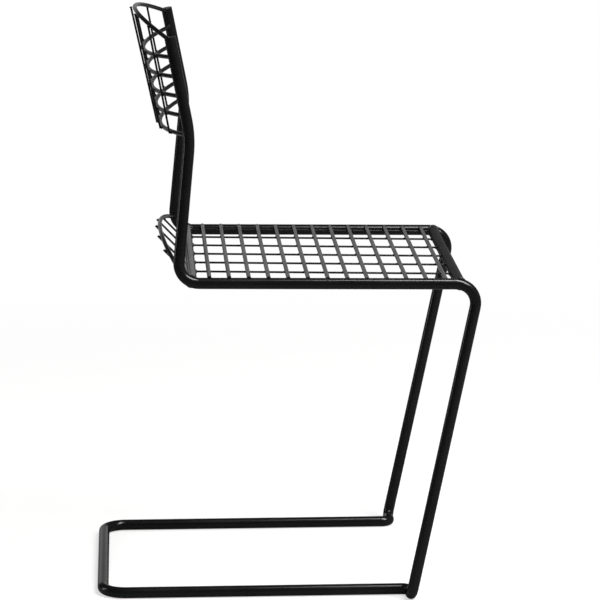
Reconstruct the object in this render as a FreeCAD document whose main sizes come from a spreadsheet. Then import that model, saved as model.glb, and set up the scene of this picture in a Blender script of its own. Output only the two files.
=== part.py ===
import FreeCAD, Part
import math
import os
import Sketcher

from FreeCAD import Placement, Rotation, Vector

# Cantilever chair of black painted steel.
# A round bar is bent into two mirrored sides, each an upright, a seat rail and a leg.
# A second bar, bent to a U, lies on the floor and joins the two legs.
# The seat and the back are welded meshes of cross rods and thinner wires.
# Frame: +X to the front, +Y to the sitter's left, +Z up.
# The origin lies on the floor in the middle of the overall width and depth.

# Driving sizes, in millimetres and degrees
SIZES = {
    # stock
    "bar_diameter": 16.0,
    "rod_diameter": 6.0,
    "wire_diameter": 3.0,
    "weld_gap": 0.05,
    # base, along the axis of its bar
    "base_width": 367.6,
    "base_depth": 439.6,
    "base_corner_radius": 33.0,
    "foot_width": 438.0,
    "foot_bend_radius": 12.0,
    "foot_stub": 2.0,
    # seat rails, along the axes of their bars and to the corners of their bends
    "seat_width": 427.0,
    "seat_depth": 424.8,
    "seat_setback": 108.9,
    "seat_rear_height": 464.1,
    "seat_front_height": 458.9,
    "seat_corner_radius": 27.8,
    # uprights
    "knee_height": 668.2,
    "knee_advance": 19.6,
    "knee_radius": 167.0,
    "top_height": 805.3,
    "top_setback": 7.2,
    "top_width": 364.6,
    # bars across the seat, by how far round the rail's bends they sit
    "front_crossbar_angle": 12.0,
    "rear_crossbar_angle": 21.4,
    # seat mesh, level with the axes of the two crossbars
    "seat_wire_lift": 0.3,
    "seat_wire_pitch": 68.3,
    "side_wire_gap": 1.0,
    "seat_rod_first": 45.0,
    "seat_rod_last": 47.4,
    "seat_rod_overlap": 4.0,
    # upturned lip behind the seat
    "lip_angle": 46.0,
    "lip_wire_drop": 5.1,
    "lip_reach": 59.5,
    "lip_bow": 36.0,
    "lip_wire_overhang": 1.0,
    # back mesh, measured down the uprights from their ends
    "top_rod_drop": 5.5,
    "top_rod_arch": 36.0,
    "back_rod_first": 28.3,
    "back_rod_pitch": 27.5,
    "back_bow_top": 42.6,
    "back_bow_bottom": 40.0,
    "back_wire_pitch": 64.0,
    "back_wire_tail": 1.5,
    "back_wire_head": 1.0,
}
SEAT_ROD_COUNT = 13
BACK_ROD_COUNT = 5
INNER_WIRE_COUNT = 5
BAR_RADIUS = "Sizes.bar_diameter / 2"
ROD_RADIUS = "Sizes.rod_diameter / 2"
WIRE_RADIUS = "Sizes.wire_diameter / 2"
SADDLE_RADIUS = "Sizes.bar_diameter / 2 + Sizes.weld_gap"
ROD_SADDLE_RADIUS = "Sizes.rod_diameter / 2 + Sizes.weld_gap"

doc = FreeCAD.newDocument("wire_cantilever_chair")
sheet = doc.addObject("Spreadsheet::Sheet", "Sizes")
for row, (alias, value) in enumerate(SIZES.items(), start=1):
    sheet.set(f"A{row}", alias)
    sheet.set(f"B{row}", str(value))
    sheet.setAlias(f"B{row}", alias)
doc.recompute()


def size(alias):
    """Value of one driving size."""
    return float(getattr(sheet, alias))


bar_radius = size("bar_diameter") / 2
rod_radius = size("rod_diameter") / 2
wire_radius = size("wire_diameter") / 2
gap = size("weld_gap")
parts = {}


# Bent bars

def bent_path(corners, radii):
    """Straight runs through the corners, joined by tangent arcs."""
    edges = []
    start = corners[0]
    for before, corner, after, radius in zip(corners, corners[1:], corners[2:], radii):
        arriving = (corner - before).normalize()
        leaving = (after - corner).normalize()
        turn = arriving.getAngle(leaving)
        setback = radius * math.tan(turn / 2)
        arc_start = corner - arriving * setback
        arc_end = corner + leaving * setback
        inward = (leaving - arriving).normalize()
        middle = corner + inward * (radius / math.cos(turn / 2) - radius)
        edges.append(Part.LineSegment(start, arc_start).toShape())
        edges.append(Part.Arc(arc_start, middle, arc_end).toShape())
        start = arc_end
    edges.append(Part.LineSegment(start, corners[-1]).toShape())
    return Part.Wire(edges)


def bent_bar(name, corners, radii, radius_formula):
    """A round bar swept along a path of runs and bends."""
    path = doc.addObject("Part::Feature", name + "_path")
    path.Shape = bent_path(corners, radii)
    section = doc.addObject("Part::Circle", name + "_section")
    section.setExpression("Radius", radius_formula)
    along = (corners[1] - corners[0]).normalize()
    section.Placement = Placement(corners[0], Rotation(Vector(0, 0, 1), along))
    bar = doc.addObject("Part::Sweep", name)
    bar.Sections = [section]
    bar.Spine = (path, [f"Edge{number + 1}" for number in range(len(path.Shape.Edges))])
    bar.Solid = True
    bar.Frenet = False
    bar.Label = name
    return bar


# The rail's bend at the front of the seat, in the plane of the side, sets the overall depth.
rear_bar_x = 0.0
foot_x = rear_bar_x + size("base_depth")
seat_rear_x = rear_bar_x + size("seat_setback")
seat_front_x = seat_rear_x + size("seat_depth")
seat_slope = math.atan2(size("seat_rear_height") - size("seat_front_height"), size("seat_depth"))
leg_lean = math.atan2(seat_front_x - foot_x, size("seat_front_height") - bar_radius)
front_turn = math.pi / 2 + leg_lean - seat_slope
front_setback = size("seat_corner_radius") * math.tan(front_turn / 2)
bend_radius = size("seat_corner_radius")
front_bend_x = seat_front_x - front_setback * math.cos(seat_slope) - bend_radius * math.sin(seat_slope)
foremost_x = front_bend_x + bend_radius + bar_radius
rearmost_x = rear_bar_x - bar_radius
middle_x = (foremost_x + rearmost_x) / 2
rear_bar_x -= middle_x
foot_x -= middle_x
seat_rear_x -= middle_x
seat_front_x -= middle_x

knee_x = seat_rear_x + size("knee_advance")
top_x = seat_rear_x - size("top_setback")
upright_height = size("top_height") - size("seat_rear_height")
knee_share = (size("knee_height") - size("seat_rear_height")) / upright_height
knee_width = size("seat_width") + (size("top_width") - size("seat_width")) * knee_share
runner_start_x = foot_x - size("foot_bend_radius") - size("foot_stub")


def side_corners(side):
    """Corners of one side bar from the top of its upright down to the runner."""
    return [
        Vector(top_x, side * size("top_width") / 2, size("top_height")),
        Vector(knee_x, side * knee_width / 2, size("knee_height")),
        Vector(seat_rear_x, side * size("seat_width") / 2, size("seat_rear_height")),
        Vector(seat_front_x, side * size("seat_width") / 2, size("seat_front_height")),
        Vector(foot_x, side * size("foot_width") / 2, bar_radius),
        Vector(foot_x, side * size("base_width") / 2, bar_radius),
        Vector(runner_start_x, side * size("base_width") / 2, bar_radius),
    ]


side_radii = [
    size("knee_radius"),
    size("seat_corner_radius"),
    size("seat_corner_radius"),
    size("foot_bend_radius"),
    size("foot_bend_radius"),
]
envelopes = []
for name, side in (("right", -1), ("left", 1)):
    corners = side_corners(side)
    parts[name + "_side_bar"] = bent_bar(name + "_side_bar", corners, side_radii, BAR_RADIUS)
    envelopes.append(bent_bar(name + "_envelope", corners, side_radii, SADDLE_RADIUS))

base_half = size("base_width") / 2
base_corners = [
    Vector(runner_start_x, -base_half, bar_radius),
    Vector(rear_bar_x, -base_half, bar_radius),
    Vector(rear_bar_x, base_half, bar_radius),
    Vector(runner_start_x, base_half, bar_radius),
]
base_radii = [size("base_corner_radius")] * 2
parts["base_bar"] = bent_bar("base_bar", base_corners, base_radii, BAR_RADIUS)

# Whatever ends on a side bar is cut to its saddle shape by this pair of slightly thicker bars.
side_saddles = doc.addObject("Part::Compound", "side_saddles")
side_saddles.Links = envelopes


# Straight bars, rods and wires

def straight(name, start, end, radius_formula):
    """A round length from one point to another."""
    piece = doc.addObject("Part::Cylinder", name + "_stock")
    piece.setExpression("Radius", radius_formula)
    piece.Height = (end - start).Length
    piece.Placement = Placement(start, Rotation(Vector(0, 0, 1), end - start))
    return piece


def trimmed(name, piece, tool):
    """A piece cut to the shape of what its ends meet."""
    cut = doc.addObject("Part::Cut", name)
    cut.Base = piece
    cut.Tool = tool
    cut.Label = name
    parts[name] = cut
    return cut


# Directions in the plane of the seat
seat_along = Vector(math.cos(seat_slope), 0, -math.sin(seat_slope))
seat_up = Vector(math.sin(seat_slope), 0, math.cos(seat_slope))
seat_rear = Vector(seat_rear_x, 0, size("seat_rear_height"))
seat_front = Vector(seat_front_x, 0, size("seat_front_height"))
lower_lean = math.atan2(size("knee_advance"), size("knee_height") - size("seat_rear_height"))
rear_turn = math.pi / 2 + lower_lean - seat_slope
rear_setback = size("seat_corner_radius") * math.tan(rear_turn / 2)


def on_bend(bend_start, onward, inward, angle):
    """Point on the axis of a seat bend, an angle round from where the bend starts."""
    centre = bend_start + inward * size("seat_corner_radius")
    return centre + (onward * math.sin(angle) - inward * math.cos(angle)) * size("seat_corner_radius")


front_angle = math.radians(size("front_crossbar_angle"))
rear_angle = math.radians(size("rear_crossbar_angle"))
front_centre = on_bend(seat_front - seat_along * front_setback, seat_along, -seat_up, front_angle)
rear_centre = on_bend(seat_rear + seat_along * rear_setback, -seat_along, seat_up, rear_angle)

# Each crossbar is cut to the rails, and a slightly thicker bar on its axis cuts what ends on it.
saddles = []
rail_reach = Vector(0, size("seat_width") / 2, 0)
for name, centre in (("front", front_centre), ("rear", rear_centre)):
    ends = (centre - rail_reach, centre + rail_reach)
    trimmed(name + "_seat_crossbar", straight(name + "_seat_crossbar", *ends, BAR_RADIUS), side_saddles)
    saddles.append(straight(name + "_crossbar_saddle", *ends, SADDLE_RADIUS))
crossbar_saddles = doc.addObject("Part::Compound", "crossbar_saddles")
crossbar_saddles.Links = saddles

# Wires run front to back at the height of the crossbars' axes.
mesh_along = (front_centre - rear_centre).normalize()
mesh_up = Vector(-mesh_along.z, 0, mesh_along.x)
inner_steps = [number - INNER_WIRE_COUNT // 2 for number in range(INNER_WIRE_COUNT)]
outer_place = size("seat_width") / 2 - bar_radius - size("side_wire_gap") - wire_radius
wire_places = [-outer_place] + [step * size("seat_wire_pitch") for step in inner_steps] + [outer_place]
for number, place in enumerate(wire_places, start=1):
    name = f"seat_long_wire_{number}"
    offset = Vector(0, place, 0) + mesh_up * size("seat_wire_lift")
    wire = straight(name, rear_centre + offset, front_centre + offset, WIRE_RADIUS)
    trimmed(name, wire, crossbar_saddles)

# Cross rods lie on the wires, with both ends on the rails.
rod_lift = size("seat_wire_lift") + wire_radius + gap + rod_radius
first_rod = (seat_rear - rear_centre).dot(mesh_along) + size("seat_rod_first")
last_rod = (seat_front - rear_centre).dot(mesh_along) - size("seat_rod_last")
seat_rod_pitch = (last_rod - first_rod) / (SEAT_ROD_COUNT - 1)
rod_reach = Vector(0, size("seat_width") / 2 - size("seat_rod_overlap"), 0)
for number in range(SEAT_ROD_COUNT):
    name = f"seat_cross_rod_{number + 1:02d}"
    reach = first_rod + number * seat_rod_pitch
    centre = rear_centre + mesh_along * reach + mesh_up * rod_lift
    rod = straight(name, centre - rod_reach, centre + rod_reach, ROD_RADIUS)
    trimmed(name, rod, side_saddles)


# Bowed rods

def bowed(name, ends_centre, bow_direction, half_chord, bow, radius_formula):
    """A rod bent to an arc across the chair."""
    arc_radius = (half_chord ** 2 + bow ** 2) / (2 * bow)
    half_angle = math.degrees(math.asin(half_chord / arc_radius))
    body = doc.addObject("PartDesign::Body", name + "_stock")
    plane = [item for item in body.Origin.OriginFeatures if item.Role == "XZ_Plane"][0]
    sketch = body.newObject("Sketcher::SketchObject", name + "_section")
    sketch.AttachmentSupport = [(plane, "")]
    sketch.MapMode = "FlatFace"
    sketch.addGeometry(Part.Circle(Vector(arc_radius, 0, 0), Vector(0, 0, 1), rod_radius), False)
    sketch.addConstraint(Sketcher.Constraint("Radius", 0, rod_radius))
    sketch.setExpression("Constraints[0]", radius_formula)
    sketch.addConstraint(Sketcher.Constraint("DistanceX", -1, 1, 0, 3, arc_radius))
    sketch.addConstraint(Sketcher.Constraint("PointOnObject", 0, 3, -1))
    revolution = body.newObject("PartDesign::Revolution", name + "_bend")
    revolution.Profile = sketch
    revolution.ReferenceAxis = (sketch, ["V_Axis"])
    revolution.Angle = 2 * half_angle
    revolution.Midplane = True
    body.Tip = revolution
    centre = ends_centre + bow_direction * (bow - arc_radius)
    aside = Vector(0, 1, 0)
    turn = Rotation(bow_direction, aside, bow_direction.cross(aside), "XYZ")
    body.Placement = Placement(centre, turn)
    return body


# Back mesh: level rods first, then the arched top rod
upright_up = Vector(top_x - knee_x, 0, size("top_height") - size("knee_height")).normalize()
upright_back = Vector(-upright_up.z, 0, upright_up.x)
upright_top = Vector(top_x, 0, size("top_height"))
narrowing = (size("seat_width") - size("top_width")) / 2 / upright_height
last_back_rod = size("back_rod_first") + (BACK_ROD_COUNT - 1) * size("back_rod_pitch")


def half_chord_at(drop):
    """Half the distance between the axes of the uprights, a drop below their ends."""
    return size("top_width") / 2 + narrowing * drop * upright_up.z


def back_bow_at(drop):
    """How far back the mesh bows in the middle, a drop below the uprights' ends."""
    share = (drop - size("top_rod_drop")) / (last_back_rod - size("top_rod_drop"))
    return size("back_bow_top") + (size("back_bow_bottom") - size("back_bow_top")) * share


for number in range(BACK_ROD_COUNT):
    drop = size("back_rod_first") + number * size("back_rod_pitch")
    ends = upright_top - upright_up * drop
    name = f"back_cross_rod_{number + 1}"
    rod = bowed(name, ends, upright_back, half_chord_at(drop), back_bow_at(drop), ROD_RADIUS)
    trimmed(name, rod, side_saddles)

top_drop = size("top_rod_drop")
top_half = half_chord_at(top_drop)
top_sag = upright_back * size("back_bow_top") + upright_up * size("top_rod_arch")
top_ends = upright_top - upright_up * top_drop
top_direction = Vector(top_sag).normalize()
top_rod = bowed("back_top_rod", top_ends, top_direction, top_half, top_sag.Length, ROD_RADIUS)
trimmed("back_top_rod", top_rod, side_saddles)
top_rod_saddle = bowed(
    "top_rod_saddle", top_ends, top_direction, top_half, top_sag.Length, ROD_SADDLE_RADIUS
)


def bow_depth(place, half_chord, bow, offset):
    """Depth of a bowed rod's arc, grown outwards by an offset, at a place across the chair."""
    arc_radius = (half_chord ** 2 + bow ** 2) / (2 * bow)
    return math.sqrt((arc_radius + offset) ** 2 - place ** 2) - (arc_radius - bow)


# Upright wires lie behind the level rods and end on the arched top rod.
behind_rods = rod_radius + wire_radius + 2 * gap
first_drop = size("back_rod_first")
first_half = half_chord_at(first_drop)
last_half = half_chord_at(last_back_rod)
for number, step in enumerate(inner_steps, start=1):
    place = step * size("back_wire_pitch")
    first_depth = bow_depth(place, first_half, back_bow_at(first_drop), behind_rods)
    last_depth = bow_depth(place, last_half, back_bow_at(last_back_rod), behind_rods)
    flare = (last_depth - first_depth) / (last_back_rod - first_drop)
    arch = bow_depth(place, top_half, top_sag.Length, 0) * size("top_rod_arch") / top_sag.Length
    high_drop = top_drop - arch - size("back_wire_head")
    low_drop = last_back_rod + size("back_wire_tail")
    ends = []
    for drop in (high_drop, low_drop):
        depth = first_depth + flare * (drop - first_drop)
        ends.append(upright_top + Vector(0, place, 0) - upright_up * drop + upright_back * depth)
    name = f"back_upright_wire_{number}"
    trimmed(name, straight(name, *ends, WIRE_RADIUS), top_rod_saddle)

# Lip behind the seat: a bowed rod on short wires that rise from the rear crossbar
lip_tilt = math.radians(size("lip_angle"))
lip_out = Vector(-math.cos(lip_tilt), 0, math.sin(lip_tilt))
lip_face = Vector(math.sin(lip_tilt), 0, math.cos(lip_tilt))
lip_root = rear_centre - lip_face * size("lip_wire_drop")
lip_rod_line = lip_root + lip_face * (rod_radius + wire_radius + gap)
lip_half = size("seat_width") / 2
lip_ends_reach = size("lip_reach") - size("lip_bow")
lip_ends = lip_rod_line + lip_out * lip_ends_reach
lip_rod = bowed("seat_lip_rod", lip_ends, lip_out, lip_half, size("lip_bow"), ROD_RADIUS)
trimmed("seat_lip_rod", lip_rod, side_saddles)
for number, step in enumerate(inner_steps, start=1):
    place = step * size("seat_wire_pitch")
    reach = lip_ends_reach + bow_depth(place, lip_half, size("lip_bow"), rod_radius)
    start = lip_root + Vector(0, place, 0)
    tip = start + lip_out * (reach + size("lip_wire_overhang"))
    name = f"seat_lip_wire_{number}"
    trimmed(name, straight(name, start, tip, WIRE_RADIUS), crossbar_saddles)

# Build, test every solid, then write one file for each piece
doc.recompute()
faults = [item.Label for item in doc.Objects if "Invalid" in item.State or "Error" in item.State]
for name, piece in parts.items():
    shape = piece.Shape
    if shape.isNull() or not shape.isValid() or len(shape.Solids) != 1:
        faults.append(name)
if faults:
    raise RuntimeError("these pieces failed: " + ", ".join(faults))
os.makedirs("parts", exist_ok=True)
for name, piece in parts.items():
    piece.Shape.exportStep(os.path.join("parts", name + ".step"))
print(f"{len(parts)} pieces written")
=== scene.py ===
"""Wire cantilever chair: black enamel and weld beads over the CAD frame, in a pale studio."""

import logging
import math
from dataclasses import dataclass, field
from enum import Enum
from typing import Any

import bpy
import numpy as np
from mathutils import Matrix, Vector


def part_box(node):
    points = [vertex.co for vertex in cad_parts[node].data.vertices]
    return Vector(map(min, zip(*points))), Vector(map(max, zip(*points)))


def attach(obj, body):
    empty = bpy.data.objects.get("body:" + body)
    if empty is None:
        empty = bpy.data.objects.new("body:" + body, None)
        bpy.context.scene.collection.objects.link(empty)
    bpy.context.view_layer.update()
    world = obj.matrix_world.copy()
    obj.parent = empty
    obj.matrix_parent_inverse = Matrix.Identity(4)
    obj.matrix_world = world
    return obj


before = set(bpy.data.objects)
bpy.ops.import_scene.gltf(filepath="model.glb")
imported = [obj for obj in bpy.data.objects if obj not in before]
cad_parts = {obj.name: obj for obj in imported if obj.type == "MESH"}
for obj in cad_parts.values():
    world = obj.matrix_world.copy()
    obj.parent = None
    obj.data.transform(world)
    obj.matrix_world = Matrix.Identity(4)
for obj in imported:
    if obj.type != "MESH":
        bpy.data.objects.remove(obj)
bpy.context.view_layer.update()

log = logging.getLogger("wire_cantilever_chair")
MM = 0.001
BODY = "root"
SIDE_BARS = ("right_side_bar", "left_side_bar")
CROSSBARS = ("front_seat_crossbar", "rear_seat_crossbar")
SIDES = (-1, 1)


def linear(colour: str) -> tuple[float, float, float, float]:
    """Turns an sRGB hex colour to linear.

    Args:
        colour: six hex digits after a number sign.

    Returns:
        Red, green, blue and an alpha of 1.
    """
    values = [int(colour[place:place + 2], 16) / 255 for place in (1, 3, 5)]
    red, green, blue = (v / 12.92 if v <= 0.04045 else ((v + 0.055) / 1.055) ** 2.4 for v in values)
    return red, green, blue, 1.0


def add_node(
    tree: bpy.types.NodeTree,
    kind: str,
    settings: dict[str, Any] | None = None,
    inputs: dict[str | int, Any] | None = None,
) -> bpy.types.Node:
    """Adds one node with its settings and its links.

    Args:
        tree: the tree that gets the node.
        kind: Blender's name for the node's type.
        settings: the node's own properties, by name.
        inputs: a value, or an output socket to link, for each input by name or number.

    Returns:
        The new node.
    """
    node = tree.nodes.new(kind)
    for name, value in (settings or {}).items():
        setattr(node, name, value)
    for key, value in (inputs or {}).items():
        if isinstance(value, bpy.types.NodeSocket):
            tree.links.new(value, node.inputs[key])
        else:
            node.inputs[key].default_value = value
    return node


def joined(
    tree: bpy.types.NodeTree,
    operation: str,
    first: bpy.types.NodeSocket | float,
    second: bpy.types.NodeSocket | float,
) -> bpy.types.NodeSocket:
    """Joins two values in a Math node.

    Args:
        tree: the tree that gets the node.
        operation: what the node does with the values.
        first: a value or a socket.
        second: a value or a socket.

    Returns:
        The node's result.
    """
    settings = {"operation": operation}
    return add_node(tree, "ShaderNodeMath", settings, {0: first, 1: second}).outputs[0]


def ramp(
    tree: bpy.types.NodeTree,
    value: bpy.types.NodeSocket,
    reach: tuple[float, float],
    result: tuple[float, float] = (0.0, 1.0),
) -> bpy.types.NodeSocket:
    """Maps a value smoothly from one range to another.

    Args:
        tree: the tree that gets the node.
        value: what is mapped.
        reach: where the ramp starts and where it ends.
        result: what it gives at its start and at its end.

    Returns:
        The mapped value.
    """
    node = add_node(tree, "ShaderNodeMapRange", {"interpolation_type": "SMOOTHSTEP"}, {
        "Value": value, "From Min": reach[0], "From Max": reach[1],
        "To Min": result[0], "To Max": result[1],
    })
    return node.outputs["Result"]


def new_material(name: str) -> tuple[bpy.types.Material, bpy.types.NodeTree]:
    """Makes an empty node material.

    Args:
        name: the material's name.

    Returns:
        The material and its cleared node tree.
    """
    material = bpy.data.materials.new(name)
    material.use_nodes = True
    material.node_tree.nodes.clear()
    return material, material.node_tree


class Wear(Enum):
    """Where a coat of enamel is rubbed."""

    NONE = "none"
    FLOOR = "rubbed where it stands on the floor"


@dataclass(frozen=True)
class StovedEnamel:
    """Gloss black stoving enamel, sprayed on bare steel and baked.

    The eye gets a near-black coat whose gloss comes from sharp but slightly wavy reflections:
    the spray leaves orange peel, the baking flattens it, and dust leaves a few fine nibs.
    Widths, spacings, depths and heights are in millimetres.
    """

    name: str
    colour: str = "#0a0a0b"
    thin_colour: str = "#111112"
    patch_width: float = 70.0
    roughness: float = 0.2
    roughness_spread: float = 0.08
    refraction: float = 1.5
    specular: float = 0.25
    peel_width: float = 5.0
    peel_depth: float = 0.05
    nib_spacing: float = 9.0
    nib_share: float = 0.07
    nib_height: float = 0.08
    wear: Wear = Wear.NONE
    worn_colour: str = "#34332f"
    worn_roughness: float = 0.6
    worn_below: float = 0.6
    whole_above: float = 3.2
    scratch_width: float = 4.0

    def material(self) -> bpy.types.Material:
        """Builds the coat: its tone and gloss in patches, over the peel and the nibs.

        Returns:
            The material.
        """
        material, tree = new_material(self.name)
        place = add_node(tree, "ShaderNodeTexCoord").outputs["Object"]
        # The coat is thinner and duller in patches about a hand wide.
        patches = add_node(tree, "ShaderNodeTexNoise", inputs={
            "Vector": place, "Scale": 1 / (self.patch_width * MM), "Detail": 3.0, "Roughness": 0.6,
        })
        tone = add_node(tree, "ShaderNodeMix", {"data_type": "RGBA"}, {
            0: patches.outputs["Fac"], 6: linear(self.colour), 7: linear(self.thin_colour),
        })
        gloss = add_node(tree, "ShaderNodeMapRange", inputs={
            "Value": patches.outputs["Fac"], "From Min": 0.3, "From Max": 0.7,
            "To Min": self.roughness - self.roughness_spread / 2,
            "To Max": self.roughness + self.roughness_spread / 2,
        })
        colour, roughness = tone.outputs[2], gloss.outputs["Result"]
        if self.wear is Wear.FLOOR:
            colour, roughness = self.rubbed(tree, place, colour, roughness)
        shader = add_node(tree, "ShaderNodeBsdfPrincipled", inputs={
            "Base Color": colour, "Roughness": roughness, "Normal": self.bumps(tree, place),
            "IOR": self.refraction, "Specular IOR Level": self.specular,
        })
        add_node(tree, "ShaderNodeOutputMaterial", inputs={"Surface": shader.outputs["BSDF"]})
        return material

    def bumps(self, tree: bpy.types.NodeTree, place: bpy.types.NodeSocket) -> bpy.types.NodeSocket:
        """Lays the orange peel and the dust nibs on the coat.

        Args:
            tree: the material's tree.
            place: Object coordinates.

        Returns:
            The bumped normal.
        """
        # Real orange peel is 2 to 4 mm wide; at 1.5 mm to a pixel it is drawn a little coarser.
        peel = add_node(tree, "ShaderNodeTexNoise", inputs={
            "Vector": place, "Scale": 1 / (self.peel_width * MM), "Detail": 1.0, "Roughness": 0.4,
        })
        waves = add_node(tree, "ShaderNodeBump", inputs={
            "Height": peel.outputs["Fac"], "Strength": 1.0, "Distance": self.peel_depth * MM,
        })
        nibs = add_node(tree, "ShaderNodeTexVoronoi", {"feature": "F1"}, {
            "Vector": place, "Scale": 1 / (self.nib_spacing * MM), "Randomness": 1.0,
        })
        nib = ramp(tree, nibs.outputs["Distance"], (0.0, self.nib_share), (1.0, 0.0))
        bumped = add_node(tree, "ShaderNodeBump", inputs={
            "Height": nib, "Strength": 1.0, "Distance": self.nib_height * MM,
            "Normal": waves.outputs["Normal"],
        })
        return bumped.outputs["Normal"]

    def rubbed(
        self,
        tree: bpy.types.NodeTree,
        place: bpy.types.NodeSocket,
        colour: bpy.types.NodeSocket,
        roughness: bpy.types.NodeSocket,
    ) -> tuple[bpy.types.NodeSocket, bpy.types.NodeSocket]:
        """Dulls the lowest few millimetres of the coat, in scratches.

        Args:
            tree: the material's tree.
            place: Object coordinates.
            colour: the coat's colour.
            roughness: the coat's roughness.

        Returns:
            The colour and the roughness with the wear.
        """
        height = add_node(tree, "ShaderNodeSeparateXYZ", inputs={0: place})
        low = add_node(tree, "ShaderNodeMapRange", inputs={
            "Value": height.outputs["Z"], "From Min": self.worn_below * MM,
            "From Max": self.whole_above * MM, "To Min": 1.0, "To Max": 0.0,
        })
        scratches = add_node(tree, "ShaderNodeTexNoise", inputs={
            "Vector": place, "Scale": 1 / (self.scratch_width * MM), "Detail": 4.0,
            "Roughness": 0.7, "Distortion": 0.6,
        })
        patchy = add_node(tree, "ShaderNodeMapRange", inputs={
            "Value": scratches.outputs["Fac"], "From Min": 0.42, "From Max": 0.6,
        })
        amount = joined(tree, "MULTIPLY", low.outputs["Result"], patchy.outputs["Result"])
        dull = add_node(tree, "ShaderNodeMix", {"data_type": "RGBA"}, {
            0: amount, 6: colour, 7: linear(self.worn_colour),
        })
        rough = add_node(tree, "ShaderNodeMix", {"data_type": "FLOAT"}, {
            0: amount, 2: roughness, 3: self.worn_roughness,
        })
        return dull.outputs[2], rough.outputs[0]


@dataclass(frozen=True)
class Finishes:
    """The coats of the chair: bars, rods, wires and welds."""

    bar: StovedEnamel = StovedEnamel("stoved_enamel_on_bent_bar")
    front_bar: StovedEnamel = StovedEnamel(
        "dulled_enamel_on_front_crossbar", roughness=0.55, roughness_spread=0.1, peel_depth=0.03,
    )
    base: StovedEnamel = StovedEnamel("stoved_enamel_on_floor_bar", wear=Wear.FLOOR)
    rod: StovedEnamel = StovedEnamel(
        "stoved_enamel_on_rod", roughness=0.24, peel_width=4.0, peel_depth=0.04,
    )
    wire: StovedEnamel = StovedEnamel(
        "stoved_enamel_on_wire", roughness=0.28, peel_width=3.5, peel_depth=0.03,
    )
    weld: StovedEnamel = StovedEnamel(
        "stoved_enamel_on_weld", colour="#0c0c0c", thin_colour="#151413", roughness=0.32,
        roughness_spread=0.14, peel_width=2.2, peel_depth=0.16,
    )


class Paintshop:
    """Builds each finish once and puts it on the nodes and pieces that have it."""

    def __init__(self, finishes: Finishes) -> None:
        """Starts with no finish built.

        Args:
            finishes: the coats that this chair has.
        """
        self.finishes = finishes
        self.built: dict[str, bpy.types.Material] = {}

    def coat(self, finish: StovedEnamel) -> bpy.types.Material:
        """Gives the material of a finish, built on its first use.

        Args:
            finish: the coat.

        Returns:
            Its one material.
        """
        if finish.name not in self.built:
            self.built[finish.name] = finish.material()
        return self.built[finish.name]

    def dress(self, nodes: list[str], finish: StovedEnamel) -> None:
        """Puts a finish on CAD nodes.

        Args:
            nodes: the names of the nodes.
            finish: what they get.
        """
        for name in nodes:
            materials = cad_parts[name].data.materials
            materials.clear()
            materials.append(self.coat(finish))


@dataclass(frozen=True)
class Ring:
    """A ring round a length, which is pushed along it until it meets what the length ends on."""

    centre: Vector
    way: Vector
    reach: float


@dataclass(frozen=True)
class Line:
    """The axis of a straight length, from its low to its high end along its direction."""

    start: Vector
    end: Vector
    ring_setback: float = 10 * MM

    @property
    def along(self) -> Vector:
        """Unit vector from the start to the end."""
        return (self.end - self.start).normalized()

    @property
    def middle(self) -> Vector:
        """Point half way along."""
        return (self.start + self.end) / 2

    @classmethod
    def of_node(cls, name: str) -> "Line":
        """Finds the axis of a straight CAD node.

        Args:
            name: the node's name.

        Returns:
            The line down its middle, with its end of higher X, or of higher Y, last.
        """
        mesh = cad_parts[name].data
        points = np.empty(len(mesh.vertices) * 3, np.float32)
        mesh.vertices.foreach_get("co", points)
        points = points.reshape(-1, 3).astype(float)
        low, high = points.min(axis=0), points.max(axis=0)
        middle = (low + high) / 2
        along = np.linalg.svd(points - middle, full_matrices=False)[2][0]
        along *= 1.0 if along[0] + along[1] > 0 else -1.0
        reach = (points - middle) @ along
        return cls(Vector(middle + along * reach.min()), Vector(middle + along * reach.max()))

    def start_ring(self, reach: float) -> Ring:
        """Ring just inside the low end, to be pushed out over it."""
        return Ring(self.start + self.along * self.ring_setback, -self.along, reach)

    def end_ring(self, reach: float) -> Ring:
        """Ring just inside the high end, to be pushed out over it."""
        return Ring(self.end - self.along * self.ring_setback, self.along, reach)

    def side_rings(self, half_gap: float, setback: float, reach: float) -> list[Ring]:
        """Puts a ring near each end of a length that runs across the chair.

        Args:
            half_gap: from the chair's middle to the axis of what the end meets.
            setback: from that axis back to the ring.
            reach: how far the ring may go.

        Returns:
            The ring on each side.
        """
        ways = [Vector((0, side, 0)) for side in SIDES]
        return [Ring(self.middle + way * (half_gap - setback), way, reach) for way in ways]


@dataclass(frozen=True)
class Arc:
    """A rod's axis bent to an arc across the chair, alike on both sides."""

    ends: Vector
    bow_way: Vector
    half_chord: float
    bow: float

    @property
    def radius(self) -> float:
        """Radius of the arc."""
        return (self.half_chord ** 2 + self.bow ** 2) / (2 * self.bow)

    @property
    def centre(self) -> Vector:
        """Centre of the arc, in the chair's middle plane."""
        return self.ends - self.bow_way * (self.radius - self.bow)

    def at(self, across: float) -> Vector:
        """Point of the axis at a distance across the chair."""
        depth = math.sqrt(self.radius ** 2 - across ** 2) - (self.radius - self.bow)
        return self.ends + self.bow_way * depth + Vector((0, across, 0))

    def tangent(self, side: int) -> Vector:
        """Unit vector along the rod as it arrives at its end on a side, -1 or 1."""
        turn = math.asin(self.half_chord / self.radius)
        return Vector((0, side * math.cos(turn), 0)) - self.bow_way * math.sin(turn)

    def end_rings(self, setback: float, reach: float) -> list[Ring]:
        """Puts a ring near each end.

        Args:
            setback: from the axis of what the end meets back to the ring.
            reach: how far the ring may go.

        Returns:
            The ring on each side.
        """
        rings = []
        for side in SIDES:
            way = self.tangent(side)
            rings.append(Ring(self.at(side * self.half_chord) - way * setback, way, reach))
        return rings


@dataclass(frozen=True)
class Spot:
    """A small lens of weld where two lengths cross."""

    centre: Vector
    face: Vector
    along: Vector


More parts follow.
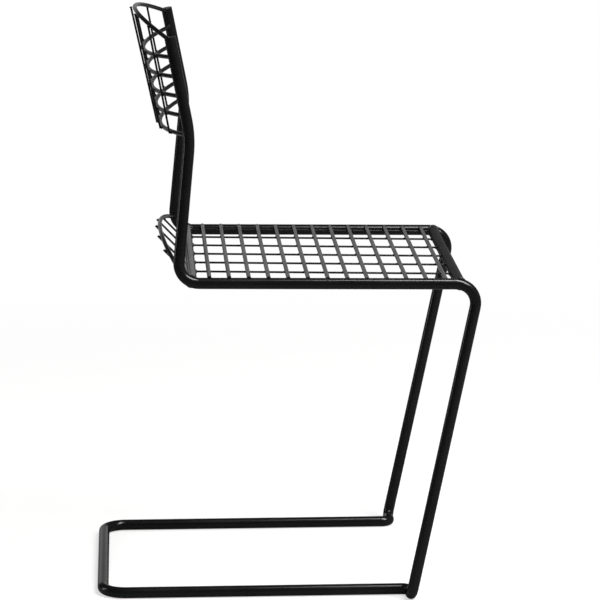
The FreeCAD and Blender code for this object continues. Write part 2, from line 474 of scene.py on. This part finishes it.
def points_object(
    name: str,
    points: list[Vector],
    vectors: dict[str, list[Vector]],
    numbers: dict[str, list[float]],
) -> bpy.types.Object:
    """Makes an object of loose points with named attributes.

    Args:
        name: the object's name.
        points: where the points are.
        vectors: one vector for each point, by attribute name.
        numbers: one number for each point, by attribute name.

    Returns:
        The object, linked to the scene.
    """
    mesh = bpy.data.meshes.new(name)
    mesh.from_pydata(points, [], [])
    for key, values in vectors.items():
        attribute = mesh.attributes.new(key, "FLOAT_VECTOR", "POINT")
        attribute.data.foreach_set("vector", [number for value in values for number in value])
    for key, values in numbers.items():
        mesh.attributes.new(key, "FLOAT", "POINT").data.foreach_set("value", values)
    made = bpy.data.objects.new(name, mesh)
    bpy.context.scene.collection.objects.link(made)
    return made


def joined_nodes(names: tuple[str, ...]) -> bpy.types.Object:
    """Copies CAD nodes to one scratch object that rays can be cast on.

    Args:
        names: the nodes.

    Returns:
        The scratch object.
    """
    points: list[Vector] = []
    faces: list[tuple[int, ...]] = []
    for name in names:
        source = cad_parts[name].data
        first = len(points)
        points.extend(vertex.co.copy() for vertex in source.vertices)
        faces.extend(tuple(first + corner for corner in face.vertices) for face in source.polygons)
    mesh = bpy.data.meshes.new("ray_target")
    mesh.from_pydata(points, [], faces)
    target = bpy.data.objects.new("ray_target", mesh)
    bpy.context.scene.collection.objects.link(target)
    return target


class WeldTree:
    """A Geometry Nodes tree with named inputs, run once on an object and then taken off it."""

    SOCKETS: dict[str, str] = {}
    LUMP_WIDTH = 3 * MM

    def __init__(self, name: str) -> None:
        """Makes the tree, its inputs and its nodes.

        Args:
            name: the tree's name.
        """
        self.tree = bpy.data.node_groups.new(name, "GeometryNodeTree")
        interface = self.tree.interface
        interface.new_socket("Geometry", in_out="INPUT", socket_type="NodeSocketGeometry")
        interface.new_socket("Geometry", in_out="OUTPUT", socket_type="NodeSocketGeometry")
        self.identifiers = {
            label: interface.new_socket(label, in_out="INPUT", socket_type=kind).identifier
            for label, kind in self.SOCKETS.items()
        }
        self.given = add_node(self.tree, "NodeGroupInput").outputs
        self.make()

    def make(self) -> None:
        """Fills the tree; each kind of weld has its own."""
        raise NotImplementedError

    def attribute(self, name: str, kind: str = "FLOAT_VECTOR") -> bpy.types.NodeSocket:
        """Reads an attribute of the loose points.

        Args:
            name: the attribute's name.
            kind: its data type.

        Returns:
            Its value.
        """
        return add_node(
            self.tree, "GeometryNodeInputNamedAttribute", {"data_type": kind}, {"Name": name},
        ).outputs[0]

    def lumpy(self, shape: bpy.types.NodeSocket) -> bpy.types.NodeSocket:
        """Pushes a bead's surface about, and off the floor.

        Args:
            shape: the bead's geometry.

        Returns:
            The geometry with its uneven surface.
        """
        tree, given = self.tree, self.given
        place = add_node(tree, "GeometryNodeInputPosition").outputs[0]
        noise = add_node(tree, "ShaderNodeTexNoise", {"noise_dimensions": "4D"}, {
            "Vector": place, "W": given["Seed"], "Scale": 1 / self.LUMP_WIDTH, "Detail": 1.0,
        })
        centred = add_node(tree, "ShaderNodeVectorMath", {"operation": "SUBTRACT"}, {
            0: noise.outputs["Color"], 1: (0.5, 0.5, 0.5),
        })
        offset = add_node(tree, "ShaderNodeVectorMath", {"operation": "SCALE"}, {
            0: centred.outputs[0], "Scale": given["Unevenness"],
        })
        pushed = add_node(tree, "GeometryNodeSetPosition", inputs={
            "Geometry": shape, "Offset": offset.outputs[0],
        })
        parted = add_node(tree, "ShaderNodeSeparateXYZ", inputs={0: place})
        above = joined(tree, "MAXIMUM", parted.outputs["Z"], 0.0)
        clear = add_node(tree, "ShaderNodeCombineXYZ", inputs={
            0: parted.outputs["X"], 1: parted.outputs["Y"], 2: above,
        })
        settled = add_node(tree, "GeometryNodeSetPosition", inputs={
            "Geometry": pushed.outputs[0], "Position": clear.outputs[0],
        })
        return settled.outputs[0]

    def end_with(self, shape: bpy.types.NodeSocket) -> None:
        """Smooths, realizes and paints what the tree has made.

        Args:
            shape: the welds' geometry.
        """
        smooth = add_node(self.tree, "GeometryNodeSetShadeSmooth", inputs={"Geometry": shape})
        real = add_node(self.tree, "GeometryNodeRealizeInstances", inputs={0: smooth.outputs[0]})
        painted = add_node(self.tree, "GeometryNodeSetMaterial", inputs={
            "Geometry": real.outputs[0], "Material": self.given["Enamel"],
        })
        add_node(self.tree, "NodeGroupOutput", inputs={0: painted.outputs[0]})

    def run(self, piece: bpy.types.Object, values: dict[str, Any]) -> None:
        """Puts the tree's result in an object as a plain mesh.

        Args:
            piece: the object of loose points.
            values: the tree's inputs by name.
        """
        modifier = piece.modifiers.new("welds", "NODES")
        modifier.node_group = self.tree
        for label, value in values.items():
            modifier[self.identifiers[label]] = value
        graph = bpy.context.evaluated_depsgraph_get()
        made = bpy.data.meshes.new_from_object(piece.evaluated_get(graph), depsgraph=graph)
        piece.modifiers.remove(modifier)
        spent = piece.data
        piece.data = made
        bpy.data.meshes.remove(spent)
        made.name = piece.name


class BeadTree(WeldTree):
    """Beads laid round the ends of lengths, on the surface that each end meets."""

    SOCKETS = {
        "Bars": "NodeSocketObject",
        "Length Radius": "NodeSocketFloat",
        "Bead Radius": "NodeSocketFloat",
        "Unevenness": "NodeSocketFloat",
        "Seed": "NodeSocketInt",
        "Enamel": "NodeSocketMaterial",
    }
    STEPS_ROUND_LENGTH = 24
    STEPS_ROUND_BEAD = 8

    def make(self) -> None:
        """A ring for each point goes along its way until it meets the bars, and becomes a bead."""
        tree, given = self.tree, self.given
        way, reach = self.attribute("way"), self.attribute("reach", "FLOAT")
        turn = add_node(tree, "FunctionNodeAlignRotationToVector", {"axis": "Z"}, {"Vector": way})
        ring = add_node(tree, "GeometryNodeCurvePrimitiveCircle", {"mode": "RADIUS"}, {
            "Resolution": self.STEPS_ROUND_LENGTH, "Radius": given["Length Radius"],
        })
        rings = add_node(tree, "GeometryNodeInstanceOnPoints", inputs={
            "Points": given["Geometry"], "Instance": ring.outputs[0], "Rotation": turn.outputs[0],
        })
        real = add_node(tree, "GeometryNodeRealizeInstances", inputs={0: rings.outputs[0]})
        bars = add_node(tree, "GeometryNodeObjectInfo", inputs={"Object": given["Bars"]})
        place = add_node(tree, "GeometryNodeInputPosition").outputs[0]
        cast = add_node(tree, "GeometryNodeRaycast", inputs={
            "Target Geometry": bars.outputs["Geometry"], "Ray Direction": way, "Ray Length": reach,
        })
        furthest = add_node(tree, "ShaderNodeVectorMath", {"operation": "SCALE"}, {
            0: way, "Scale": reach,
        })
        missed = add_node(tree, "ShaderNodeVectorMath", {"operation": "ADD"}, {
            0: place, 1: furthest.outputs[0],
        })
        landed = add_node(tree, "GeometryNodeSwitch", {"input_type": "VECTOR"}, {
            "Switch": cast.outputs["Is Hit"], "False": missed.outputs[0],
            "True": cast.outputs["Hit Position"],
        })
        seam = add_node(tree, "GeometryNodeSetPosition", inputs={
            "Geometry": real.outputs[0], "Position": landed.outputs[0],
        })
        section = add_node(tree, "GeometryNodeCurvePrimitiveCircle", {"mode": "RADIUS"}, {
            "Resolution": self.STEPS_ROUND_BEAD, "Radius": given["Bead Radius"],
        })
        bead = add_node(tree, "GeometryNodeCurveToMesh", inputs={
            "Curve": seam.outputs[0], "Profile Curve": section.outputs[0],
        })
        self.end_with(self.lumpy(bead.outputs[0]))


class SpotTree(WeldTree):
    """Flattened lenses where rods and wires were fused by resistance welding."""

    SOCKETS = {
        "Size": "NodeSocketVector",
        "Unevenness": "NodeSocketFloat",
        "Seed": "NodeSocketInt",
        "Enamel": "NodeSocketMaterial",
    }
    SEGMENTS = 10
    RINGS = 6
    SIZE_SPREAD = 0.15

    def make(self) -> None:
        """A lens for each point, its flat way to the face and its long way along the wire."""
        tree, given = self.tree, self.given
        turn = add_node(tree, "FunctionNodeAlignRotationToVector", {"axis": "Z"}, {
            "Vector": self.attribute("face"),
        })
        aimed = add_node(
            tree, "FunctionNodeAlignRotationToVector", {"axis": "X", "pivot_axis": "Z"},
            {"Rotation": turn.outputs[0], "Vector": self.attribute("along")},
        )
        ball = add_node(tree, "GeometryNodeMeshUVSphere", inputs={
            "Segments": self.SEGMENTS, "Rings": self.RINGS, "Radius": 1.0,
        })
        varied = add_node(tree, "FunctionNodeRandomValue", {"data_type": "FLOAT"}, {
            2: 1 - self.SIZE_SPREAD, 3: 1 + self.SIZE_SPREAD, "Seed": given["Seed"],
        })
        size = add_node(tree, "ShaderNodeVectorMath", {"operation": "SCALE"}, {
            0: given["Size"], "Scale": varied.outputs[1],
        })
        lenses = add_node(tree, "GeometryNodeInstanceOnPoints", inputs={
            "Points": given["Geometry"], "Instance": ball.outputs["Mesh"],
            "Rotation": aimed.outputs[0], "Scale": size.outputs[0],
        })
        real = add_node(tree, "GeometryNodeRealizeInstances", inputs={0: lenses.outputs[0]})
        self.end_with(self.lumpy(real.outputs[0]))


class WeldShop:
    """Lays the welds of every sub-assembly with its two trees."""

    BEAD_UNEVENNESS = 0.6
    SPOT_UNEVENNESS = 0.3 * MM

    def __init__(self, paintshop: Paintshop) -> None:
        """Builds the trees.

        Args:
            paintshop: has the welds' coat.
        """
        self.paintshop = paintshop
        self.beads = BeadTree("weld_beads")
        self.spots = SpotTree("weld_spots")

    def finish(self, piece: bpy.types.Object, slot: str) -> None:
        """Hangs a weld piece on the chair and reports it.

        Args:
            piece: the welds.
            slot: not used.
        """
        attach(piece, BODY)
        log.info("%s: %d faces", piece.name, len(piece.data.polygons))

    def lay_beads(
        self,
        name: str,
        rings: list[Ring],
        targets: tuple[str, ...],
        length_radius: float,
        bead_radius: float,
        slot: str,
    ) -> None:
        """Lays beads round the ends of lengths.

        Args:
            name: the piece's name.
            rings: one for each end.
            targets: the CAD nodes that the ends meet.
            length_radius: radius of the lengths.
            bead_radius: radius of the bead's own section.
            slot: not used; it is only handed on to finish.
        """
        piece = points_object(
            name, [ring.centre for ring in rings], {"way": [ring.way for ring in rings]},
            {"reach": [ring.reach for ring in rings]},
        )
        target = joined_nodes(targets)
        self.beads.run(piece, {
            "Bars": target, "Length Radius": length_radius, "Bead Radius": bead_radius,
            "Unevenness": self.BEAD_UNEVENNESS * bead_radius, "Seed": len(name),
            "Enamel": self.paintshop.coat(self.paintshop.finishes.weld),
        })
        mesh = target.data
        bpy.data.objects.remove(target)
        bpy.data.meshes.remove(mesh)
        self.finish(piece, slot)

    def lay_spots(self, name: str, spots: list[Spot], size: Vector, slot: str) -> None:
        """Lays lenses where rods and wires cross.

        Args:
            name: the piece's name.
            spots: one for each crossing.
            size: half the lens along the wire, across it and through it.
            slot: not used; it is only handed on to finish.
        """
        piece = points_object(
            name, [spot.centre for spot in spots],
            {"face": [spot.face for spot in spots], "along": [spot.along for spot in spots]}, {},
        )
        self.spots.run(piece, {
            "Size": size, "Unevenness": self.SPOT_UNEVENNESS, "Seed": len(name),
            "Enamel": self.paintshop.coat(self.paintshop.finishes.weld),
        })
        self.finish(piece, slot)


@dataclass
class SideFrame:
    """The two bent side bars and the crossbars between their rails."""

    bar_radius: float = 8.0 * MM
    seat_setback: float = 108.9 * MM
    seat_width: float = 427.0 * MM
    seat_rear_height: float = 464.1 * MM
    knee_height: float = 668.2 * MM
    knee_advance: float = 19.6 * MM
    top_height: float = 805.3 * MM
    top_setback: float = 7.2 * MM
    top_width: float = 364.6 * MM
    crossbar_bead: float = 1.6 * MM
    ring_setback: float = 25 * MM
    ring_reach: float = 21 * MM

    @property
    def seat_rear(self) -> Vector:
        """Corner of the rails' axes at the rear of the seat."""
        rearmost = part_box("base_bar")[0].x
        return Vector((rearmost + self.bar_radius + self.seat_setback, 0, self.seat_rear_height))

    @property
    def upright_top(self) -> Vector:
        """Middle between the upper ends of the uprights' axes."""
        return Vector((self.seat_rear.x - self.top_setback, 0, self.top_height))

    @property
    def upright_up(self) -> Vector:
        """Unit vector up the uprights above their knees, seen from the side."""
        knee = Vector((self.seat_rear.x + self.knee_advance, 0, self.knee_height))
        return (self.upright_top - knee).normalized()

    def half_width_at(self, drop: float) -> float:
        """Half the distance between the uprights' axes, a drop below their ends."""
        rise = self.top_height - self.seat_rear_height
        narrowing = (self.seat_width - self.top_width) / 2 / rise
        return self.top_width / 2 + narrowing * drop * self.upright_up.z

    def dress(self, paintshop: Paintshop) -> None:
        """Paints the side bars and the crossbars, the front one with a duller coat.

        Args:
            paintshop: has the coats.
        """
        front, rear = CROSSBARS
        paintshop.dress([*SIDE_BARS, rear], paintshop.finishes.bar)
        paintshop.dress([front], paintshop.finishes.front_bar)

    def weld(self, shop: WeldShop) -> None:
        """Welds the four ends of the crossbars to the rails.

        Args:
            shop: lays the welds.
        """
        rings = []
        for bar in map(Line.of_node, CROSSBARS):
            rings += bar.side_rings(self.seat_width / 2, self.ring_setback, self.ring_reach)
        shop.lay_beads(
            "crossbar_end_welds", rings, SIDE_BARS, self.bar_radius, self.crossbar_bead,
            "painted_bar",
        )


@dataclass
class Base:
    """The U of bar on the floor, butt-welded to the two side bars behind their feet."""

    bar_radius: float = 8.0 * MM
    ring_bead: float = 0.5 * MM

    def dress(self, paintshop: Paintshop) -> None:
        """Paints the base."""
        paintshop.dress(["base_bar"], paintshop.finishes.base)

    def weld(self, shop: WeldShop) -> None:
        """Lays a ground-down ring at each butt joint.

        Args:
            shop: lays the welds.
        """
        _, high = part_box("base_bar")
        rings = []
        for side in SIDES:
            across = side * (high.y - self.bar_radius)
            joint = Vector((high.x, across, self.bar_radius))
            rings.append(Ring(joint, Vector((1, 0, 0)), 0.0))
        shop.lay_beads(
            "base_butt_welds", rings, ("base_bar",), self.bar_radius, self.ring_bead, "painted_bar",
        )


@dataclass
class SeatMesh:
    """Cross rods of the seat on long wires, and its upturned lip."""

    side: SideFrame
    rod_radius: float = 3.0 * MM
    wire_radius: float = 1.5 * MM
    gap: float = 0.05 * MM
    rod_count: int = 13
    wire_count: int = 7
    lip_wire_count: int = 5
    rod_bead: float = 0.3 * MM
    wire_bead: float = 1.6 * MM
    rod_setback: float = 22 * MM
    rod_reach: float = 18 * MM
    wire_reach: float = 14 * MM
    lip_wire_reach: float = 16 * MM
    lip_angle: float = 46.0
    lip_wire_drop: float = 5.1 * MM
    lip_reach: float = 59.5 * MM
    lip_bow: float = 36.0 * MM
    spot_size: Vector = field(default_factory=lambda: Vector((3.4, 2.7, 1.3)) * MM)

    def rods(self) -> list[str]:
        """Names of the cross rods."""
        return [f"seat_cross_rod_{number:02d}" for number in range(1, self.rod_count + 1)]

    def wires(self) -> list[str]:
        """Names of the long wires."""
        return [f"seat_long_wire_{number}" for number in range(1, self.wire_count + 1)]

    def lip_wires(self) -> list[str]:
        """Names of the lip's wires."""
        return [f"seat_lip_wire_{number}" for number in range(1, self.lip_wire_count + 1)]

    @property
    def lip_out(self) -> Vector:
        """Unit vector up the lip, away from the seat."""
        tilt = math.radians(self.lip_angle)
        return Vector((-math.cos(tilt), 0, math.sin(tilt)))

    @property
    def lip_face(self) -> Vector:
        """Unit vector out of the lip's upper face."""
        tilt = math.radians(self.lip_angle)
        return Vector((math.sin(tilt), 0, math.cos(tilt)))

    def lip_arc(self) -> Arc:
        """Works out the axis of the lip's bowed rod.

        Returns:
            The arc, on wires that end on the rear crossbar.
        """
        foot = Line.of_node("rear_seat_crossbar").middle
        lift = self.rod_radius + self.wire_radius + self.gap - self.lip_wire_drop
        ends = foot + self.lip_face * lift + self.lip_out * (self.lip_reach - self.lip_bow)
        return Arc(ends, self.lip_out, self.side.seat_width / 2, self.lip_bow)

    def dress(self, paintshop: Paintshop) -> None:
        """Paints the rods and the wires."""
        paintshop.dress([*self.rods(), "seat_lip_rod"], paintshop.finishes.rod)
        paintshop.dress([*self.wires(), *self.lip_wires()], paintshop.finishes.wire)

    def weld(self, shop: WeldShop) -> None:
        """Welds rod ends to the rails, wire ends to the crossbars, and the crossings.

        Args:
            shop: lays the welds.
        """
        rods = [Line.of_node(name) for name in self.rods()]
        wires = [Line.of_node(name) for name in self.wires()]
        rails = []
        for rod in rods:
            rails += rod.side_rings(self.side.seat_width / 2, self.rod_setback, self.rod_reach)
        shop.lay_beads(
            "seat_rod_end_welds", rails, SIDE_BARS, self.rod_radius, self.rod_bead, "painted_rod",
        )
        ends = []
        for wire in wires:
            ends += [wire.start_ring(self.wire_reach), wire.end_ring(self.wire_reach)]
        for wire in map(Line.of_node, self.lip_wires()):
            ends.append(wire.end_ring(self.lip_wire_reach))
        shop.lay_beads(
            "seat_wire_end_welds", ends, CROSSBARS, self.wire_radius, self.wire_bead,
            "painted_wire",
        )
        spots = []
        for rod in rods:
            for wire in wires:
                under = Vector((rod.start.x, wire.start.y, rod.start.z - self.rod_radius))
                spots.append(Spot(under, Vector((0, 0, 1)), wire.along))
        shop.lay_spots("seat_crossing_welds", spots, self.spot_size, "painted_wire")

    def weld_lip(self, shop: WeldShop) -> None:
        """Welds the lip's rod to the bends of the side bars and to its wires.

        Args:
            shop: lays the welds.
        """
        arc = self.lip_arc()
        rings = arc.end_rings(self.rod_setback, self.rod_reach)
        shop.lay_beads(
            "lip_rod_end_welds", rings, SIDE_BARS, self.rod_radius, self.rod_bead, "painted_rod",
        )
        spots = []
        for wire in map(Line.of_node, self.lip_wires()):
            under = arc.at(wire.start.y) - self.lip_face * self.rod_radius
            spots.append(Spot(under, self.lip_face, wire.along))
        shop.lay_spots("lip_crossing_welds", spots, self.spot_size, "painted_wire")


@dataclass
class BackMesh:
    """Bowed rods between the uprights, wires behind them, and the arched top rod."""

    side: SideFrame
    rod_radius: float = 3.0 * MM
    wire_radius: float = 1.5 * MM
    rod_count: int = 5
    wire_count: int = 5
    first_drop: float = 28.3 * MM
    pitch: float = 27.5 * MM
    top_drop: float = 5.5 * MM
    top_arch: float = 36.0 * MM
    bow_top: float = 42.6 * MM
    bow_bottom: float = 40.0 * MM
    rod_bead: float = 1.0 * MM
    wire_bead: float = 0.8 * MM
    rod_setback: float = 20 * MM
    rod_reach: float = 16 * MM
    wire_reach: float = 10 * MM
    spot_size: Vector = field(default_factory=lambda: Vector((3.4, 2.7, 1.3)) * MM)

    def rods(self) -> list[str]:
        """Names of the level rods."""
        return [f"back_cross_rod_{number}" for number in range(1, self.rod_count + 1)]

    def wires(self) -> list[str]:
        """Names of the upright wires."""
        return [f"back_upright_wire_{number}" for number in range(1, self.wire_count + 1)]

    @property
    def backward(self) -> Vector:
        """Unit vector out of the back, square to the uprights."""
        return Vector((-self.side.upright_up.z, 0, self.side.upright_up.x))

    def level_arc(self, number: int) -> Arc:
        """Works out the axis of a level rod.

        Args:
            number: the rod's number, from 0 at the top.

        Returns:
            The arc.
        """
        drop = self.first_drop + number * self.pitch
        last = self.first_drop + (self.rod_count - 1) * self.pitch
        share = (drop - self.top_drop) / (last - self.top_drop)
        ends = self.side.upright_top - self.side.upright_up * drop
        bow = self.bow_top + (self.bow_bottom - self.bow_top) * share
        return Arc(ends, self.backward, self.side.half_width_at(drop), bow)

    def top_arc(self) -> Arc:
        """Works out the axis of the top rod, which bows back and arches up at once.

        Returns:
            The arc, in its leaning plane.
        """
        sag = self.backward * self.bow_top + self.side.upright_up * self.top_arch
        ends = self.side.upright_top - self.side.upright_up * self.top_drop
        return Arc(ends, sag.normalized(), self.side.half_width_at(self.top_drop), sag.length)

    def dress(self, paintshop: Paintshop) -> None:
        """Paints the rods and the wires."""
        paintshop.dress([*self.rods(), "back_top_rod"], paintshop.finishes.rod)
        paintshop.dress(self.wires(), paintshop.finishes.wire)

    def weld(self, shop: WeldShop) -> None:
        """Welds rod ends to the uprights, wires to the rods and their heads to the top rod.

        Args:
            shop: lays the welds.
        """
        arcs = [self.level_arc(number) for number in range(self.rod_count)]
        rings = []
        for arc in [*arcs, self.top_arc()]:
            rings += arc.end_rings(self.rod_setback, self.rod_reach)
        shop.lay_beads(
            "back_rod_end_welds", rings, SIDE_BARS, self.rod_radius, self.rod_bead, "painted_rod",
        )
        wires = [Line.of_node(name) for name in self.wires()]
        heads = [wire.start_ring(self.wire_reach) for wire in wires]
        shop.lay_beads(
            "back_wire_head_welds", heads, ("back_top_rod",), self.wire_radius, self.wire_bead,
            "painted_wire",
        )
        spots = []
        for arc in arcs:
            for wire in wires:
                axis = arc.at(wire.start.y)
                outward = (axis - arc.centre).normalized()
                spots.append(Spot(axis + outward * self.rod_radius, outward, wire.along))
        shop.lay_spots("back_crossing_welds", spots, self.spot_size, "painted_wire")


@dataclass(frozen=True)
class SoftBox:
    """One rectangular soft light, in metres and watts."""

    name: str
    place: tuple[float, float, float]
    aim: tuple[float, float, float]
    size: tuple[float, float]
    power: float

    def build(self) -> None:
        """Makes the light and turns it to what it lights."""
        lamp = bpy.data.lights.new(self.name, "AREA")
        lamp.shape = "RECTANGLE"
        lamp.size, lamp.size_y = self.size
        lamp.energy = self.power
        made = bpy.data.objects.new(self.name, lamp)
        made.location = self.place
        facing = (Vector(self.aim) - Vector(self.place)).to_track_quat("-Z", "Y")
        made.rotation_euler = facing.to_euler()
        bpy.context.scene.collection.objects.link(made)


@dataclass
class Studio:
    """A pale paper floor, a backdrop that is white to the camera and soft lights.

    What the gloss mirrors is set apart from what the camera sees: grey paper, a low pale band
    behind the chair and a dim wall in front of it. Bands are ranges of a direction's X, Y or Z.
    """

    floor_radius: float = 3.0
    floor_steps: int = 96
    paper: str = "#f2f2f0"
    lift_at_chair: float = 0.6
    lift_fade: tuple[float, float] = (0.5, 2.25)
    mirrored_paper: str = "#6a6a68"
    rear_glow: float = 0.5
    rear_floor: tuple[float, float] = (0.9, 2.1)
    rear_band_y: tuple[float, float] = (0.86, 0.95)
    rear_band_z: tuple[float, float] = (0.22, 0.36)
    front_band_x: tuple[float, float] = (0.2, 0.9)
    mirrored_dark: float = 0.03
    mirrored_front: float = 0.15
    fill: float = 0.4
    boxes: tuple[SoftBox, ...] = (
        SoftBox("overhead_box", (1.15, -0.9, 2.58), (0.25, -0.2, 0.46), (0.8, 2.1), 140.0),
        SoftBox("left_box", (-2.8, 0.6, 1.0), (-0.1, 0.0, 0.5), (0.4, 1.5), 10.0),
    )

    def floor(self) -> None:
        """Lays a round sheet of paper that fades to the backdrop's white at its edge."""
        turns = [math.tau * step / self.floor_steps for step in range(self.floor_steps)]
        rim = [
            (self.floor_radius * math.cos(turn), self.floor_radius * math.sin(turn), 0.0)
            for turn in turns
        ]
        mesh = bpy.data.meshes.new("paper_floor")
        mesh.from_pydata(rim, [], [tuple(range(self.floor_steps))])
        mesh.materials.append(self.paper_material())
        sheet = bpy.data.objects.new("paper_floor", mesh)
        bpy.context.scene.collection.objects.link(sheet)

    def paper_material(self) -> bpy.types.Material:
        """Builds the paper, which is lifted towards white for the camera away from the chair.

        Returns:
            The material.
        """
        material, tree = new_material("matt_studio_paper")
        place = add_node(tree, "ShaderNodeTexCoord").outputs["Object"]
        rays = add_node(tree, "ShaderNodeLightPath").outputs
        lit = self.lit_paper(tree, place, rays["Is Glossy Ray"])
        white = add_node(tree, "ShaderNodeEmission", inputs={
            "Color": (1, 1, 1, 1), "Strength": 1.0,
        })
        away = add_node(tree, "ShaderNodeVectorMath", {"operation": "LENGTH"}, {0: place})
        lift = ramp(tree, away.outputs["Value"], self.lift_fade, (self.lift_at_chair, 1.0))
        seen = joined(tree, "MULTIPLY", rays["Is Camera Ray"], lift)
        mixed = add_node(tree, "ShaderNodeMixShader", inputs={0: seen, 1: lit, 2: white.outputs[0]})
        add_node(tree, "ShaderNodeOutputMaterial", inputs={"Surface": mixed.outputs[0]})
        return material

    def lit_paper(
        self,
        tree: bpy.types.NodeTree,
        place: bpy.types.NodeSocket,
        mirrored: bpy.types.NodeSocket,
    ) -> bpy.types.NodeSocket:
        """Matt fibrous paper as the lights show it; in reflections grey, and pale far behind.

        Args:
            tree: the material's tree.
            place: Object coordinates.
            mirrored: 1 where a reflection looks, else 0.

        Returns:
            The shader.
        """
        fibre = add_node(tree, "ShaderNodeTexNoise", inputs={
            "Vector": place, "Scale": 220.0, "Detail": 3.0,
        })
        grain = add_node(tree, "ShaderNodeBump", inputs={
            "Height": fibre.outputs["Fac"], "Strength": 0.2, "Distance": 0.1 * MM,
        })
        tone = add_node(tree, "ShaderNodeMix", {"data_type": "RGBA"}, {
            0: mirrored, 6: linear(self.paper), 7: linear(self.mirrored_paper),
        })
        matt = add_node(tree, "ShaderNodeBsdfPrincipled", inputs={
            "Base Color": tone.outputs[2], "Roughness": 0.9, "Specular IOR Level": 0.2,
            "Normal": grain.outputs["Normal"],
        })
        glow = add_node(tree, "ShaderNodeEmission", inputs={
            "Color": (1, 1, 1, 1), "Strength": self.rear_glow,
        })
        parted = add_node(tree, "ShaderNodeSeparateXYZ", inputs={0: place})
        rear = joined(tree, "MULTIPLY", mirrored, ramp(tree, parted.outputs["Y"], self.rear_floor))
        mixed = add_node(tree, "ShaderNodeMixShader", inputs={
            0: rear, 1: matt.outputs[0], 2: glow.outputs[0],
        })
        return mixed.outputs[0]

    def backdrop(self) -> None:
        """White for the camera; in reflections dark, with the band behind and the wall in front."""
        world = bpy.data.worlds.new("studio_backdrop")
        bpy.context.scene.world = world
        world.use_nodes = True
        tree = world.node_tree
        tree.nodes.clear()
        way = add_node(tree, "ShaderNodeTexCoord").outputs["Generated"]
        parted = add_node(tree, "ShaderNodeSeparateXYZ", inputs={0: way}).outputs
        front = ramp(
            tree, parted["X"], self.front_band_x, (self.mirrored_dark, self.mirrored_front),
        )
        behind = ramp(tree, parted["Y"], self.rear_band_y)
        low = ramp(tree, parted["Z"], self.rear_band_z, (self.rear_glow, 0.0))
        around = joined(tree, "MAXIMUM", front, joined(tree, "MULTIPLY", behind, low))
        rays = add_node(tree, "ShaderNodeLightPath").outputs
        mirrored = add_node(tree, "ShaderNodeMix", {"data_type": "FLOAT"}, {
            0: rays["Is Glossy Ray"], 2: self.fill, 3: around,
        })
        strength = add_node(tree, "ShaderNodeMix", {"data_type": "FLOAT"}, {
            0: rays["Is Camera Ray"], 2: mirrored.outputs[0], 3: 1.0,
        })
        light = add_node(tree, "ShaderNodeBackground", inputs={
            "Color": (1, 1, 1, 1), "Strength": strength.outputs[0],
        })
        add_node(tree, "ShaderNodeOutputWorld", inputs={"Surface": light.outputs[0]})

    def build(self) -> None:
        """Sets up the floor, the backdrop and the lights."""
        self.floor()
        self.backdrop()
        for box in self.boxes:
            box.build()
        bpy.context.scene.view_settings.view_transform = "Standard"


@dataclass(frozen=True)
class PhotoCamera:
    """The photograph's camera, in the chair's own frame."""

    place: tuple[float, float, float] = (-0.2198, -4.7344, 1.3534)
    yaw: float = 0.0523
    pitch: float = 0.1994
    focal_length: float = 198.0
    sensor: float = 36.0
    clip: tuple[float, float] = (0.1, 50.0)

    def build(self) -> None:
        """Makes the camera and gives it to the scene."""
        lens = bpy.data.cameras.new("photo_camera")
        lens.lens = self.focal_length
        lens.sensor_width = self.sensor
        lens.clip_start, lens.clip_end = self.clip
        made = bpy.data.objects.new("photo_camera", lens)
        made.location = self.place
        made.rotation_euler = (math.pi / 2 - self.pitch, 0.0, -self.yaw)
        bpy.context.scene.collection.objects.link(made)
        bpy.context.scene.camera = made


def main() -> None:
    """Dresses and welds the chair, piece by piece, then sets up the studio."""
    logging.basicConfig(level=logging.INFO, format="%(name)s: %(message)s")
    paintshop = Paintshop(Finishes())
    shop = WeldShop(paintshop)
    side = SideFrame()
    base = Base()
    seat = SeatMesh(side)
    back = BackMesh(side)
    for part in (side, base, seat, back):
        part.dress(paintshop)
        part.weld(shop)
        log.info("%s is dressed and welded", type(part).__name__)
    seat.weld_lip(shop)
    Studio().build()
    PhotoCamera().build()


if __name__ == "__main__":
    main()
